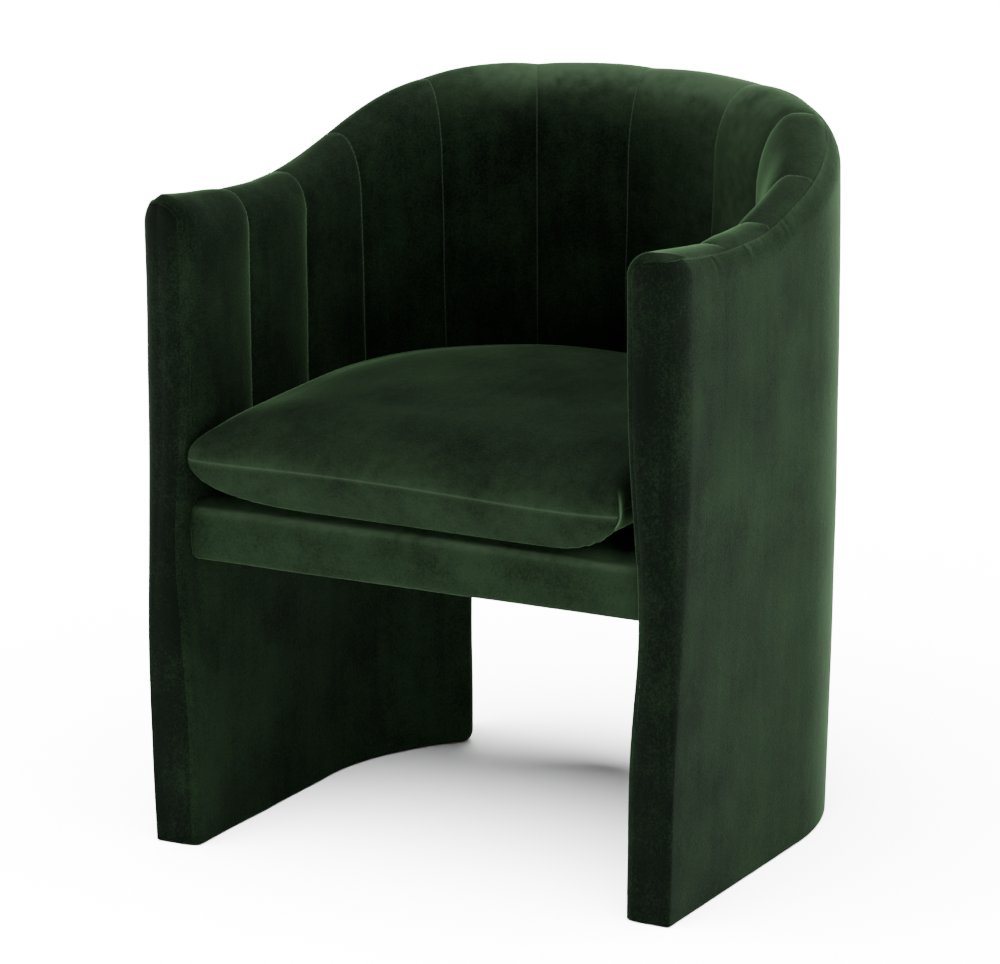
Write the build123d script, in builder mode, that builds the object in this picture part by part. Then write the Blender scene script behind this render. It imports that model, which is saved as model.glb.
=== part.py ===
from build123d import *
import os
from math import cos, degrees, pi, radians, sin, sqrt

# A barrel dining armchair, upholstered all over, in millimetres.
# The sitter faces -Y and +Z is up. Left and right are the sitter's, so left is +X.
# The origin is on the floor, in the middle of the chair's width and depth.

# Driving dimensions: the shell in plan
width = 610.0
side_run = 305.0
flare = 10.0
cover_thickness = 8.0
frame_thickness = 30.0
leg_sweep = 40.0
lining_inset = 14.0
lining_setback = 27.0

# Driving dimensions: the top edge
back_height = 768.0
arm_front_height = 694.0
arm_low_height = 683.0
arm_low_run = 170.0
swoop_start = 185.0
swoop_length = 345.0
rim_roll = 33.0
crest_setback = 23.0

# Driving dimensions: the channelled inside
channels_per_side = 6
arm_pad_thickness = 19.0
back_pad_at_deck = 55.0
back_pad_at_top = 30.0
channel_depth = 7.0
channel_dip = 4.0
pad_top_thickness = 26.0

# Driving dimensions: the frame
glide_height = 6.0
glide_radius = 11.0
glide_nail_radius = 1.8
glide_nail_length = 12.0
glide_edge = 1.5
glide_end_run = 30.0
glide_end_sweep = 5.0
strip_thickness = 1.5
base_thickness = 18.0
top_rail_height = 30.0
top_rail_joint = 260.0
end_relief = 0.3
post_width = 40.0
side_post_back = 290.0
rear_post_sweep = 8.5
upright_angle = 68.0
upright_sweep = 8.0
seat_rail_bottom = 322.0
seat_rail_height = 44.0
seat_rail_thickness = 25.0
front_rail_setback = 30.0
block_leg = 60.0
bolt_radius = 3.0
bolt_head_radius = 6.5
bolt_head_height = 3.0
bolt_grip = 45.0

# Driving dimensions: the seat
rail_cover_setback = 20.0
rail_cover_round = 8.0
dust_cover_thickness = 2.0
strap_width = 50.0
strap_thickness = 2.0
straps_lengthwise = 4
straps_crosswise = 4
deck_thickness = 6.0
cushion_front = 6.0
cushion_below_seam = 41.0
cushion_above_seam = 58.0
cushion_cloth = 3.0
cushion_bow = 6.0
cushion_profile = ((0, 0), (0.4, 0.12), (0.75, 0.45), (0.93, 1.0), (1, 1.6))

# Clearances
fit = 0.5
pad_fit = 1.0
rail_fit = 2.0
soft_gap = 0.6

# Worked out from the driving dimensions
outer_radius = width / 2
top_radius = outer_radius + flare
frame_outer = outer_radius - cover_thickness
frame_inner = frame_outer - frame_thickness
crest_radius = top_radius - rim_roll
crest_run = side_run - crest_setback
inside_half_width = frame_inner - arm_pad_thickness
depth = side_run + top_radius
front = -depth / 2
back_centre = front + side_run
inside_centre_at_deck = back_centre - back_pad_at_deck
inside_centre_at_top = back_centre - back_pad_at_top
lining_radius = frame_inner - lining_inset
lining_centre = back_centre - lining_setback
leg_end = leg_sweep + degrees(cover_thickness / frame_outer)
base_bottom = glide_height
base_top = base_bottom + base_thickness
leg_bottom = base_bottom - strip_thickness
seat_rail_top = seat_rail_bottom + seat_rail_height
rail_bottom = seat_rail_bottom - cover_thickness
deck_bottom = seat_rail_top + 2 * strap_thickness
deck_top = deck_bottom + deck_thickness
channel_quarter = inside_half_width * pi / 2
channel_pitch = (crest_run + channel_quarter) / channels_per_side
facing_back = front + cover_thickness

os.makedirs("parts", exist_ok=True)


def save(piece, name):
    """Label one finished piece and write it under its own name."""
    piece.label = name
    export_step(piece, f"parts/{name}.step")


def save_pair(piece, name):
    """Write a piece of the left side, and its mirror image for the right side."""
    save(piece, f"{name}_left")
    save(mirror(piece, about=Plane.YZ), f"{name}_right")


def crest_height(run):
    """Height of the top edge at a distance behind the front: a shallow dip, then the swoop to the back."""
    if run < arm_low_run:
        rise = (arm_front_height - arm_low_height) * (1 - run / arm_low_run) ** 2
        return arm_low_height + rise
    share = min(max((run - swoop_start) / swoop_length, 0), 1)
    return arm_low_height + (back_height - arm_low_height) * share**2 * (3 - 2 * share)


def station(distance):
    """Angle and centre of the upright plane at a signed distance round the channels from mid back."""
    length = abs(distance)
    turn = min(length, channel_quarter) / inside_half_width
    angle = pi / 2 - turn if distance >= 0 else pi / 2 + turn
    centre = front + crest_run - max(length - channel_quarter, 0)
    return angle, centre


def reach(radius, centre, angle, origin):
    """Distance from a plane's origin out to a U-shaped plan curve of that radius and arc centre."""
    ahead = centre - origin
    across, along = abs(cos(angle)), sin(angle)
    if radius * along <= ahead * across:
        return radius / across
    return ahead * along + sqrt(radius**2 - (ahead * across) ** 2)


def upright_plane(angle, origin):
    """Vertical sketch plane whose X runs outward through the wall and whose Y runs up."""
    return Plane((0, origin, 0), x_dir=(cos(angle), sin(angle), 0), z_dir=(sin(angle), -cos(angle), 0))


def crest_at(angle, origin):
    """Outward place and height of the top edge on an upright plane."""
    out = reach(crest_radius, front + crest_run, angle, origin)
    return out, crest_height(origin + out * sin(angle) - front)


def roll_point(crest, rim, out):
    """Height of the outer roll, a quarter circle from the crest to the rim, at an outward place."""
    drop = rim - crest[0]
    return crest[1] - drop + sqrt(drop**2 - (out - crest[0]) ** 2)


def arc_band(inner, outer, start, end):
    """Sketch a band of the back curve between two radii and two angles in degrees."""
    with BuildSketch() as band:
        with BuildLine():
            far = CenterArc((0, back_centre), outer, start, end - start)
            near = CenterArc((0, back_centre), inner, end, start - end)
            Line(far @ 1, near @ 0)
            Line(near @ 1, far @ 0)
        make_face()
    return band.sketch


def side_band(inner, outer, start, end):
    """Sketch a straight band along the left wall between two distances behind the front."""
    with BuildSketch() as band:
        with Locations(((inner + outer) / 2, front + (start + end) / 2)):
            Rectangle(outer - inner, end - start)
    return band.sketch


def leg_band(inner, outer, end):
    """Sketch the band of a leg wall, from behind the arm front round to an angle at the rear."""
    with BuildSketch() as band:
        add(side_band(inner, outer, cover_thickness + fit, side_run))
        add(arc_band(inner, outer, 0, end))
    return band.sketch


def u_outline(half_width, start, centre):
    """Sketch a U: a straight front edge, two straight sides and a half-round back of two arcs."""
    with BuildSketch() as outline:
        with BuildLine():
            Polyline((-half_width, centre), (-half_width, start), (half_width, start), (half_width, centre))
            CenterArc((0, centre), half_width, 0, 90)
            CenterArc((0, centre), half_width, 90, 90)
        make_face()
    return outline.sketch


def pad_section(distance, valley):
    """Sketch an inverted J: the padded inside face, the roll over the top and the cap on the top rail."""
    angle, origin = station(distance)
    crest_out, crest_top = crest_at(angle, origin)
    inside_low = reach(inside_half_width, inside_centre_at_deck, angle, origin) + valley * channel_depth
    inside_high = reach(inside_half_width, inside_centre_at_top, angle, origin) + valley * channel_depth
    back = reach(frame_inner, back_centre, angle, origin) - pad_fit
    cap = reach(frame_outer, back_centre, angle, origin) - pad_fit
    rim = reach(top_radius, back_centre, angle, origin)
    rail_top = crest_top - pad_top_thickness + pad_fit
    dip = valley * channel_dip
    crest = (crest_out, crest_top - dip)
    roll = crest_out - inside_high
    cap_end = (cap, roll_point((crest_out, crest_top), rim, cap) - dip)
    shoulder = (inside_high, crest_top - dip - roll)
    with BuildSketch(upright_plane(angle, origin)) as section:
        with BuildLine():
            Line((inside_low, deck_top), shoulder)
            TangentArc(shoulder, crest, tangent=(0, 1))
            TangentArc(crest, cap_end, tangent=(1, 0))
            Polyline(cap_end, (cap, rail_top), (back, rail_top), (back, deck_top), (inside_low, deck_top))
        make_face()
    return section.sketch


def cover_section(distance):
    """Sketch the outer cover in section: leaning outside face, rolled top and upright inside face."""
    angle, origin = station(distance)
    crest = crest_at(angle, origin)
    inside = reach(frame_outer, back_centre, angle, origin)
    outside_low = reach(outer_radius, back_centre, angle, origin)
    outside_high = reach(top_radius, back_centre, angle, origin)
    seam = (inside, roll_point(crest, outside_high, inside))
    rim = (outside_high, crest[1] - (outside_high - crest[0]))
    with BuildSketch(upright_plane(angle, origin)) as section:
        with BuildLine():
            Polyline(seam, (inside, leg_bottom), (outside_low, leg_bottom), rim)
            TangentArc(rim, seam, tangent=(0, 1))
        make_face()
    return section.sketch


def rail_section(distance):
    """Sketch the top rail in section, a fixed drop below the swooping top edge."""
    angle, origin = station(distance)
    top = crest_at(angle, origin)[1] - pad_top_thickness
    bottom = top - top_rail_height
    inner = reach(frame_inner, back_centre, angle, origin)
    outer = reach(frame_outer, back_centre, angle, origin) - rail_fit
    with BuildSketch(upright_plane(angle, origin)) as section:
        with BuildLine():
            Polyline((inner, top), (outer, top), (outer, bottom), (inner, bottom), close=True)
        make_face()
    return section.sketch


# Channel pads: each swells between two seams
front_end = crest_run + channel_quarter - cover_thickness - fit
for number in range(channels_per_side):
    seam_start = number * channel_pitch
    seam_end = min(seam_start + channel_pitch, front_end)
    with BuildPart() as channel_pad:
        crown = pad_section((seam_start + seam_end) / 2, 0)
        loft([pad_section(seam_start, 1), crown, pad_section(seam_end, 1)])
    save_pair(channel_pad.part, f"channel_pad_{number + 1}")

# Outer cover: the wall's outside, the two arm fronts, and the open gap between the rear ends of the legs
cover_steps = 12
cover_end = crest_run + channel_quarter - cover_thickness
arm_crest = (crest_radius, crest_height(0))
with BuildPart() as outer_cover:
    loft([cover_section(cover_end * step / cover_steps) for step in range(-cover_steps, cover_steps + 1)])
    for side in (1, -1):
        with BuildSketch(Plane((0, facing_back, 0), x_dir=(side, 0, 0), z_dir=(0, -side, 0))):
            with BuildLine():
                shoulder = (inside_half_width, arm_crest[1] - (crest_radius - inside_half_width))
                rim = (top_radius, arm_crest[1] - (top_radius - crest_radius))
                TangentArc(shoulder, arm_crest, tangent=(0, 1))
                TangentArc(arm_crest, rim, tangent=(1, 0))
                Polyline(rim, (outer_radius, leg_bottom), (lining_radius, leg_bottom), shoulder)
            make_face()
        extrude(amount=cover_thickness * side)
    with BuildSketch(Plane.XY):
        add(arc_band(outer_radius / 2, 2 * outer_radius, leg_end, 180 - leg_end))
    extrude(amount=rail_bottom, mode=Mode.SUBTRACT)
save(outer_cover.part, "outer_cover")

# Leg linings: the inner faces of the legs and the returns across their rear ends
with BuildPart() as leg_lining:
    with BuildSketch(Plane.XY.offset(leg_bottom)):
        add(leg_band(frame_inner / 2, frame_inner - fit, leg_sweep))
        add(arc_band(frame_inner / 2, frame_outer - fit, leg_sweep, leg_end))
        add(u_outline(lining_radius, front, lining_centre), mode=Mode.SUBTRACT)
    extrude(amount=rail_bottom - leg_bottom)
save_pair(leg_lining.part, "leg_lining")

# Top rails: bent laminated strips under the swooping edge
rail_steps = 12
with BuildPart() as arm_rail:
    rail_pitch = (front_end - top_rail_joint) / rail_steps
    loft([rail_section(top_rail_joint + rail_pitch * step) for step in range(rail_steps + 1)])
save_pair(arm_rail.part, "arm_rail")

with BuildPart() as back_top_rail:
    loft([rail_section(top_rail_joint * step / rail_steps) for step in range(-rail_steps, rail_steps + 1)])
save(back_top_rail.part, "back_top_rail")

# Bolts: through each side seat rail into the side post and the rear post
rail_inner = frame_inner - seat_rail_thickness
bolt_height = seat_rail_bottom + seat_rail_height / 2
rear_bolt = radians(leg_sweep - end_relief - rear_post_sweep / 2)
bolt_start = rail_inner - fit
side_bolt_plane = Plane((bolt_start, front + side_post_back - post_width / 2, bolt_height), z_dir=(1, 0, 0))
rear_bolt_plane = Plane(
    (bolt_start * cos(rear_bolt), back_centre + bolt_start * sin(rear_bolt), bolt_height),
    z_dir=(cos(rear_bolt), sin(rear_bolt), 0),
)
bolt_planes = [side_bolt_plane, rear_bolt_plane]

with BuildPart() as bolt_holes:
    for plane in bolt_planes:
        with BuildSketch(plane):
            Circle(bolt_radius + fit)
        extrude(amount=bolt_grip + fit)

with BuildPart() as frame_bolts:
    for plane in bolt_planes:
        with BuildSketch(plane):
            Circle(bolt_radius)
        extrude(amount=bolt_grip)
        with BuildSketch(plane):
            Circle(bolt_head_radius)
        extrude(amount=-bolt_head_height)
    mirror(about=Plane.YZ)
save(frame_bolts.part, "frame_bolts")


def post_top(start, end):
    """Height inside the top rail all along a post's run, from which the post is cut back to the rail."""
    return min(crest_height(start), crest_height(end)) - pad_top_thickness - top_rail_height / 2


def crest_run_at(angle):
    """Distance of the top edge behind the front at an angle in degrees round the back."""
    return crest_run + crest_radius * sin(radians(angle))


# Base plates: curved plywood along the bottom of each leg, drilled for the glides' nails
glide_middle = (frame_inner + frame_outer) / 2
rear_glide = radians(leg_sweep - glide_end_sweep)
glide_places = [
    (glide_middle, front + glide_end_run),
    (glide_middle, front + side_post_back - post_width / 2),
    (glide_middle * cos(rear_glide), back_centre + glide_middle * sin(rear_glide)),
]
post_outer = frame_outer - rail_fit - fit
post_inner = frame_inner + fit
with BuildPart() as base_plate:
    with BuildSketch(Plane.XY.offset(base_bottom)):
        add(leg_band(frame_inner, frame_outer - fit, leg_sweep - end_relief))
        with Locations(*glide_places):
            Circle(glide_nail_radius + fit / 2, mode=Mode.SUBTRACT)
    extrude(amount=base_thickness)
save_pair(base_plate.part, "base_plate")

# Bottom strips: close the underside of each leg round the glides
with BuildPart() as bottom_strip:
    with BuildSketch(Plane.XY.offset(leg_bottom)):
        add(leg_band(frame_inner, frame_outer - fit, leg_sweep - end_relief))
        with Locations(*glide_places):
            Circle(glide_radius + fit, mode=Mode.SUBTRACT)
    extrude(amount=strip_thickness)
save_pair(bottom_strip.part, "bottom_strip")

# Glides: nailed pucks, three under each leg
with BuildPart() as glides:
    for place in glide_places:
        with BuildSketch(Plane.XY):
            with Locations(place):
                Circle(glide_radius)
        extrude(amount=glide_height)
        with BuildSketch(Plane.XY.offset(glide_height)):
            with Locations(place):
                Circle(glide_nail_radius)
        extrude(amount=glide_nail_length)
    chamfer(glides.edges().group_by(Axis.Z)[0], glide_edge)
    mirror(about=Plane.YZ)
save(glides.part, "glides")

# Posts: stand on the base plates and carry the top rails
post_start = cover_thickness + fit
post_end = post_start + post_width
with BuildPart() as front_post:
    with BuildSketch(Plane.XY.offset(base_top)):
        add(side_band(post_inner, post_outer, post_start, post_end))
    extrude(amount=post_top(post_start, post_end) - base_top)
    add(arm_rail.part, mode=Mode.SUBTRACT)
save_pair(front_post.part, "front_post")

side_post_start = side_post_back - post_width
with BuildPart() as side_post:
    with BuildSketch(Plane.XY.offset(base_top)):
        add(side_band(post_inner, post_outer, side_post_start, side_post_back))
    extrude(amount=post_top(side_post_start, side_post_back) - base_top)
    add(arm_rail.part, mode=Mode.SUBTRACT)
    add(bolt_holes.part, mode=Mode.SUBTRACT)
save_pair(side_post.part, "side_post")

rear_post_end = leg_sweep - end_relief
rear_post_start = rear_post_end - rear_post_sweep
with BuildPart() as rear_post:
    with BuildSketch(Plane.XY.offset(base_top)):
        add(arc_band(post_inner, post_outer, rear_post_start, rear_post_end))
    extrude(amount=post_top(crest_run_at(rear_post_start), crest_run_at(rear_post_end)) - base_top)
    add(arm_rail.part, mode=Mode.SUBTRACT)
    add(back_top_rail.part, mode=Mode.SUBTRACT)
    add(bolt_holes.part, mode=Mode.SUBTRACT)
save_pair(rear_post.part, "rear_post")

# Back: a lower rail between the rear posts, and two uprights from it to the top rail
with BuildPart() as back_lower_rail:
    with BuildSketch(Plane.XY.offset(seat_rail_bottom)):
        add(arc_band(frame_inner, post_outer, leg_sweep - end_relief, 180 - leg_sweep + end_relief))
    extrude(amount=top_rail_height)
save(back_lower_rail.part, "back_lower_rail")

upright_bottom = seat_rail_bottom + top_rail_height
upright_start = upright_angle - upright_sweep / 2
upright_end = upright_start + upright_sweep
with BuildPart() as back_upright:
    with BuildSketch(Plane.XY.offset(upright_bottom)):
        add(arc_band(post_inner, post_outer, upright_start, upright_end))
    extrude(amount=post_top(crest_run_at(upright_start), crest_run_at(upright_end)) - upright_bottom)
    add(back_top_rail.part, mode=Mode.SUBTRACT)
save_pair(back_upright.part, "back_upright")

# Seat frame: side rails and a rear rail inside the posts, and a front rail between the side rails
with BuildPart() as side_seat_rail:
    with BuildSketch(Plane.XY.offset(seat_rail_bottom)):
        add(side_band(rail_inner, frame_inner, front_rail_setback, side_run))
        add(arc_band(rail_inner, frame_inner, 0, leg_sweep))
    extrude(amount=seat_rail_height)
    add(bolt_holes.part, mode=Mode.SUBTRACT)
save_pair(side_seat_rail.part, "side_seat_rail")

with BuildPart() as rear_seat_rail:
    with BuildSketch(Plane.XY.offset(seat_rail_bottom)):
        add(arc_band(rail_inner, frame_inner, leg_sweep, 180 - leg_sweep))
    extrude(amount=seat_rail_height)
save(rear_seat_rail.part, "rear_seat_rail")

front_rail_back = front_rail_setback + seat_rail_thickness
with BuildPart() as front_seat_rail:
    with BuildSketch(Plane.XY.offset(seat_rail_bottom)):
        add(side_band(-rail_inner, rail_inner, front_rail_setback, front_rail_back))
    extrude(amount=seat_rail_height)
save(front_seat_rail.part, "front_seat_rail")

with BuildPart() as corner_block:
    with BuildSketch(Plane.XY.offset(seat_rail_bottom)):
        with BuildLine():
            corner = (rail_inner, front + front_rail_back)
            along_side = (corner[0], corner[1] + block_leg)
            along_front = (corner[0] - block_leg, corner[1])
            Polyline(corner, along_side, along_front, close=True)
        make_face()
    extrude(amount=seat_rail_height)
save_pair(corner_block.part, "corner_block")

# Webbing: straps from front to back, and straps from side to side laid over them
strap_reach = frame_inner - fit
lengthwise_pitch = 2 * rail_inner / (straps_lengthwise + 1)
crosswise_pitch = (back_centre - front - front_rail_back) / straps_crosswise
with BuildPart() as seat_webbing:
    for number in range(straps_lengthwise):
        middle = lengthwise_pitch * (number + 1) - rail_inner
        far = back_centre + sqrt(strap_reach**2 - (abs(middle) + strap_width / 2) ** 2)
        with BuildSketch(Plane.XY.offset(seat_rail_top)):
            edge = middle - strap_width / 2
            add(side_band(edge, edge + strap_width, front_rail_setback, far - front))
        extrude(amount=strap_thickness)
    for number in range(straps_crosswise):
        middle = front_rail_back + crosswise_pitch * (number + 0.5)
        with BuildSketch(Plane.XY.offset(seat_rail_top + strap_thickness)):
            edge = middle - strap_width / 2
            add(side_band(-strap_reach, strap_reach, edge, edge + strap_width))
        extrude(amount=strap_thickness)
save(seat_webbing.part, "seat_webbing")

# Seat covers: deck on the webbing, wrap of the front rail, dust cover below
with BuildPart() as deck_cover:
    with BuildSketch(Plane.XY.offset(deck_bottom)):
        add(u_outline(frame_inner - fit, front + front_rail_setback, back_centre))
    extrude(amount=deck_thickness)
save(deck_cover.part, "deck_cover")

wrap_back = front_rail_back + rail_cover_round
with BuildPart() as front_rail_cover:
    with BuildSketch(Plane.YZ.offset(-strap_reach)):
        with BuildLine():
            Polyline(
                (front + rail_cover_setback, rail_bottom),
                (front + wrap_back, rail_bottom),
                (front + wrap_back, seat_rail_bottom),
                (front + front_rail_setback, seat_rail_bottom),
                (front + front_rail_setback, deck_top),
                (front + rail_cover_setback, deck_top),
                close=True,
            )
        make_face()
    extrude(amount=2 * strap_reach)
    fillet(front_rail_cover.edges().filter_by(Axis.X).group_by(Axis.Y)[0], rail_cover_round)
save(front_rail_cover.part, "front_rail_cover")

with BuildPart() as dust_cover:
    with BuildSketch(Plane.XY.offset(seat_rail_bottom - dust_cover_thickness)):
        add(u_outline(frame_inner - fit, front + wrap_back + fit, back_centre))
    extrude(amount=dust_cover_thickness)
save(dust_cover.part, "dust_cover")

# Seat cushion: two lofted halves that meet at the knife-edge seam
cushion_half_width = inside_half_width - soft_gap
cushion_seam_height = deck_top + soft_gap + cushion_below_seam


def cushion_section(height, inset, bow):
    """Sketch one level of the cushion: a U drawn in by an inset, with its front edge bowed."""
    half = cushion_half_width - inset
    near = front + cushion_front + inset
    centre = inside_centre_at_deck
    with BuildSketch(Plane.XY.offset(height)) as section:
        with BuildLine():
            ThreePointArc((-half, near), (0, near + bow), (half, near))
            Line((half, near), (half, centre))
            CenterArc((0, centre), half, 0, 90)
            CenterArc((0, centre), half, 90, 90)
            Line((-half, centre), (-half, near))
        make_face()
    return section.sketch


def cushion_half(rise, shrink):
    """Sections from the seam to the top, or with a negative rise to the bottom, drawn in by a shrink."""
    reduced = rise - shrink if rise > 0 else rise + shrink
    sections = []
    for share, inset in cushion_profile:
        height = cushion_seam_height + reduced * share
        sections.append(cushion_section(height, inset * abs(rise) + shrink, cushion_bow * (1 - 2 * share)))
    return sections


with BuildPart() as cushion_core:
    loft(cushion_half(cushion_above_seam, cushion_cloth + soft_gap))
    loft(cushion_half(-cushion_below_seam, cushion_cloth + soft_gap))
save(cushion_core.part, "cushion_core")

with BuildPart() as cushion_hollow:
    loft(cushion_half(cushion_above_seam, cushion_cloth))
    loft(cushion_half(-cushion_below_seam, cushion_cloth))

with BuildPart() as cushion_cover:
    loft(cushion_half(cushion_above_seam, 0))
    loft(cushion_half(-cushion_below_seam, 0))
    add(cushion_hollow.part, mode=Mode.SUBTRACT)
save(cushion_cover.part, "cushion_cover")
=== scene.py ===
# %% [markdown]
# # A barrel dining armchair in bottle-green velvet
# The chair is a wooden frame that never shows: everything the eye meets is velvet over padding.
# The CAD model gives the frame, the padding and the joint. This lesson dresses it, piece by piece,
# with surfaces that are worked out from the same few curves as the CAD model: a U-shaped plan,
# a swooping top edge, and six sewn channels on each side of the back's centre seam.

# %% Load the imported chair
import bpy
import numpy as np
from mathutils import Matrix, Vector
from numpy import clip, concatenate, cos, exp, linspace, pi, radians, sin, sqrt, where


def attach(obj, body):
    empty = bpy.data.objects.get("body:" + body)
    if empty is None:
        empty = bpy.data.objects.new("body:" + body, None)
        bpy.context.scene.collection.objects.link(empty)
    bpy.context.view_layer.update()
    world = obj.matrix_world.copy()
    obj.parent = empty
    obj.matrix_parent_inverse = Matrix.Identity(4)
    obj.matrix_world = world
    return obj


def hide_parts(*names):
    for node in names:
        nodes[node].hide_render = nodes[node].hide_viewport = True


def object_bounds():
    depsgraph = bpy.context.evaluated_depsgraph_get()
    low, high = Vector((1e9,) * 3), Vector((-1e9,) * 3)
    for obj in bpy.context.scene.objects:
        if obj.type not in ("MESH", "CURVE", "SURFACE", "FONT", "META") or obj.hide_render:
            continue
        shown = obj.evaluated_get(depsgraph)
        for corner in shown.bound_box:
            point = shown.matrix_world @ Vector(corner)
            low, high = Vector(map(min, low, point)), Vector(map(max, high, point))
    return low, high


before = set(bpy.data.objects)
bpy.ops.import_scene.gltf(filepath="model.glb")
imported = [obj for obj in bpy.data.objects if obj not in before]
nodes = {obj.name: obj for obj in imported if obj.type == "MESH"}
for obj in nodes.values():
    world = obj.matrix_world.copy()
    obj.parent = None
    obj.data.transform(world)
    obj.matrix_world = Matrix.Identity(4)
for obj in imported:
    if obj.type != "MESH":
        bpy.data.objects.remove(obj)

cad_low, cad_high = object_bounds()
print("CAD box in metres:", [round(v, 4) for v in (*cad_low, *cad_high)], "with", len(nodes), "nodes")

# %% [markdown]
# ## Camera
# The photograph was taken from the front on the sitter's left, a little above the seat, with a long lens.
# Azimuth, elevation and distance were fitted to the floor corners, the legs and the top edge,
# so the camera is placed by those three numbers and an aim point, with no lens shift.

# %% Place the camera
def put(name, data):
    """A new object with that data, linked into the scene."""
    made = bpy.data.objects.new(name, data)
    bpy.context.scene.collection.objects.link(made)
    return made


image_width_px = 1000
focal_px = 5203.0
azimuth, elevation, roll = radians([28.575, 14.545, -0.36])
distance = 5.549
aim = Vector((-0.0339, -0.0378, 0.3631))

back = Vector((sin(azimuth) * cos(elevation), -cos(azimuth) * cos(elevation), sin(elevation)))
level = Vector((cos(azimuth), sin(azimuth), 0.0))
upward = back.cross(level)
right = cos(roll) * level + sin(roll) * upward
upward = back.cross(right)
lens = bpy.data.cameras.new("studio_camera")
lens.sensor_fit, lens.sensor_width = "HORIZONTAL", 36.0
lens.lens = focal_px * lens.sensor_width / image_width_px
camera = put("studio_camera", lens)
place = aim + back * distance
camera.matrix_world = Matrix([(*axes, at) for axes, at in zip(zip(right, upward, back), place)] + [(0, 0, 0, 1)])
bpy.context.scene.camera = camera
print("camera at", [round(v, 3) for v in place], "lens", round(lens.lens, 1), "mm")

# %% [markdown]
# ## From numbers to a mesh
# Every cover here is a sheet of cloth with some thickness. A sheet is easiest to think of as two grids
# of points, the face that shows and the back that lies on the padding. Joining the face's cells, the
# back's cells turned over, and a strip along every open edge gives a closed shell, whatever its outline.

# %% Grids into closed shells
def put_mesh(name, points, quads, marks=None):
    """A mesh object from an array of points and an array of four-cornered faces, with named values per point."""
    mesh = bpy.data.meshes.new(name)
    mesh.vertices.add(len(points))
    mesh.vertices.foreach_set("co", np.asarray(points, np.float32).ravel())
    mesh.loops.add(quads.size)
    mesh.loops.foreach_set("vertex_index", quads.astype(np.int32).ravel())
    mesh.polygons.add(len(quads))
    mesh.polygons.foreach_set("loop_start", np.arange(0, quads.size, 4, dtype=np.int32))
    mesh.polygons.foreach_set("use_smooth", np.ones(len(quads), bool))
    for mark, values in (marks or {}).items():
        mesh.attributes.new(mark, "FLOAT", "POINT").data.foreach_set("value", np.asarray(values, np.float32).ravel())
    mesh.update(calc_edges=True)
    mesh.set_sharp_from_angle(angle=radians(38))
    return put(name, mesh)


def coords(*axes):
    """Joins coordinates, each a number or an array, into one array of points."""
    return np.stack(np.broadcast_arrays(*axes), -1)


def grid_cells(rows, columns, keep=None):
    """Corner numbers of each cell of a grid of points, going round the cell, for the cells to keep."""
    number = np.arange(rows * columns).reshape(rows, columns)
    cells = coords(number[:-1, :-1], number[:-1, 1:], number[1:, 1:], number[1:, :-1])
    return cells.reshape(-1, 4) if keep is None else cells[keep]


def cloth_shell(name, face, under, keep=None, marks=None):
    """Closes a face grid and an under grid into one shell: face cells, under cells turned over, edge strips."""
    rows, columns = face.shape[:2]
    total = rows * columns
    cells = grid_cells(rows, columns, keep)
    flat, hidden = face.reshape(-1, 3), under.reshape(-1, 3)
    facing = np.cross(flat[cells[:, 2]] - flat[cells[:, 0]], flat[cells[:, 3]] - flat[cells[:, 1]])
    outward = (flat[cells] - hidden[cells]).mean(1)
    if (facing * outward).sum() < 0:
        cells = cells[:, ::-1]
    start, end = cells.ravel(), np.roll(cells, -1, axis=1).ravel()
    lone = ~np.isin(start * total + end, end * total + start)
    start, end = start[lone], end[lone]
    strips = coords(end, start, start + total, end + total)
    quads = concatenate([cells, cells[:, ::-1] + total, strips])
    used, quads = np.unique(quads, return_inverse=True)
    both = {mark: concatenate([values.ravel(), values.ravel()])[used] for mark, values in (marks or {}).items()}
    piece = put_mesh(name, concatenate([flat, hidden])[used], quads.reshape(-1, 4), both)
    print(name, "has", len(used), "points and", len(quads.reshape(-1, 4)), "faces")
    return piece


def dress(piece, body, material, slot, *covered):
    """Gives a finished piece its body and its finish, and hides the CAD nodes it stands for. The slot argument is not
    used.
    """
    piece.data.materials.append(material)
    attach(piece, body)
    if covered:
        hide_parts(*covered)
    return piece

# %% [markdown]
# ## Nodes written as sums
# A material is a small calculation that runs at every point of the surface. Instead of placing Math
# nodes by hand, a socket is wrapped in a class with the arithmetic signs, so that a sum in Python
# adds the nodes. Every other node comes from its one method, settings first and sockets after.

# %% A socket with arithmetic
class Strand:
    """One output socket in a material's tree. Arithmetic on it adds Math nodes; node() adds any other node."""

    def __init__(self, tree, socket=None):
        self.tree, self.socket = tree, socket

    def node(self, kind, settings=None, inputs=None, output=0):
        made = self.tree.nodes.new(kind)
        for setting, value in (settings or {}).items():
            setattr(made, setting, value)
        for key, value in (inputs or {}).items():
            if isinstance(value, Strand):
                self.tree.links.new(value.socket, made.inputs[key])
            else:
                made.inputs[key].default_value = value
        return Strand(self.tree, made.outputs[output])

    def sums(self, operation, *terms):
        return self.node("ShaderNodeMath", {"operation": operation}, dict(enumerate(terms)))

    def __add__(self, other):
        return self.sums("ADD", self, other)

    def __sub__(self, other):
        return self.sums("SUBTRACT", self, other)

    def __mul__(self, other):
        return self.sums("MULTIPLY", self, other)

    __radd__, __rmul__ = __add__, __mul__

    def __pow__(self, other):
        return self.sums("POWER", self, other)

    def clamped(self):
        return self.sums("MINIMUM", self.sums("MAXIMUM", self, 0.0), 1.0)


def start_finish(name, **constants):
    """A new material with its shader's constant sockets set; returns the material, a strand and the shader."""
    material = bpy.data.materials.new(name)
    material.use_nodes = True
    shader = material.node_tree.nodes["Principled BSDF"]
    for socket, value in constants.items():
        shader.inputs[socket.replace("_", " ")].default_value = value
    return material, Strand(material.node_tree), shader


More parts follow.
